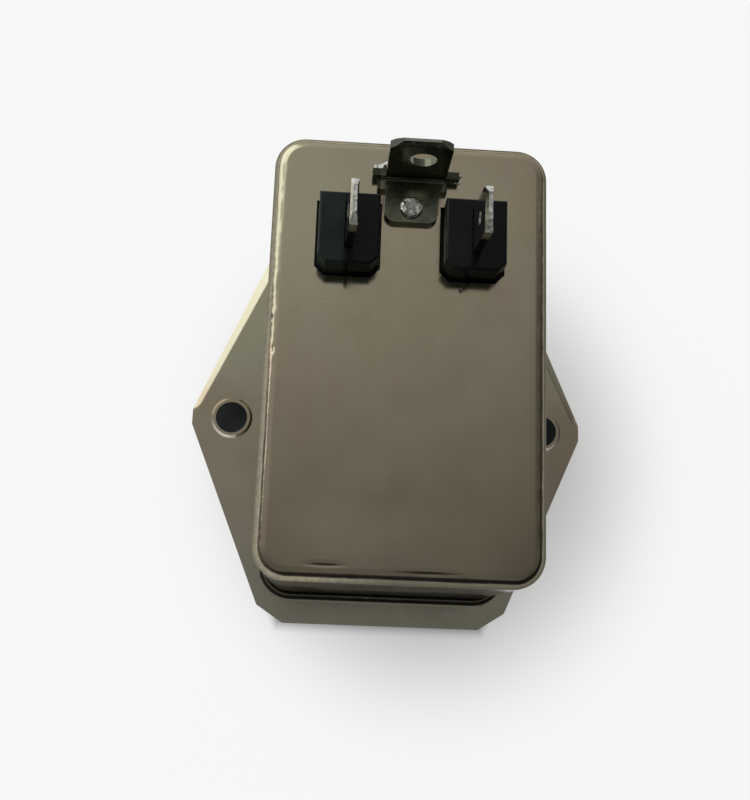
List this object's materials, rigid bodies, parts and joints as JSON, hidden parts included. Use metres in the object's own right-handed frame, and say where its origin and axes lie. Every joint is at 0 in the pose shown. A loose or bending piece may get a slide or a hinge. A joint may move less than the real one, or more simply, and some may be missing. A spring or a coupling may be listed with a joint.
{
  "type": "emi line filter",
  "caption": "Panel-mounted mains line filter in a drawn metal can, with a hexagonal flange, an inlet socket in front and tab terminals behind.",
  "frame": {"origin": "on the floor under the middle of the can, with the part lying on its front", "axes": "+Z out of the can's closed end, where the terminals are; Y along the long side, with the terminals near its +Y end; X along the line of the two screw holes"},
  "size_m": [0.05, 0.0542, 0.043],
  "materials": {
    "plated_steel": "bright plated steel, slightly dulled and yellowed",
    "tab_steel": "plated steel, darker",
    "rivet_metal": "bright",
    "blade_metal": "tinned brass",
    "pin_metal": "nickel-plated brass",
    "inlet_plastic": "fine-grained moulding",
    "insulator_plastic": "gloss",
    "board_laminate": "phenolic laminate",
    "film": "polyester film",
    "ferrite": "coated ferrite",
    "divider_plastic": "natural nylon",
    "winding_copper": "enamelled copper",
    "film_capacitor_case": "moulded case",
    "disc_capacitor_coat": "dipped epoxy",
    "resistor_coat": "lacquer"
  },
  "bodies": {
    "root": {"can": "plated_steel", "inlet_body": "inlet_plastic", "line_pin": "pin_metal", "neutral_pin": "pin_metal", "earth_pin": "pin_metal", "filter_board": "board_laminate", "insulating_sleeve": "film", "choke_core": "ferrite", "choke_divider": "divider_plastic", "line_winding": "winding_copper", "neutral_winding": "winding_copper", "x_capacitor": "film_capacitor_case", "y_capacitor_line": "disc_capacitor_coat", "y_capacitor_neutral": "disc_capacitor_coat", "bleed_resistor": "resistor_coat", "line_insulator": "insulator_plastic", "neutral_insulator": "insulator_plastic", "line_blade": "blade_metal", "neutral_blade": "blade_metal", "earth_tab": "tab_steel", "earth_rivet": "rivet_metal", "earth_strap": "pin_metal"}
  },
  "joints": []
}
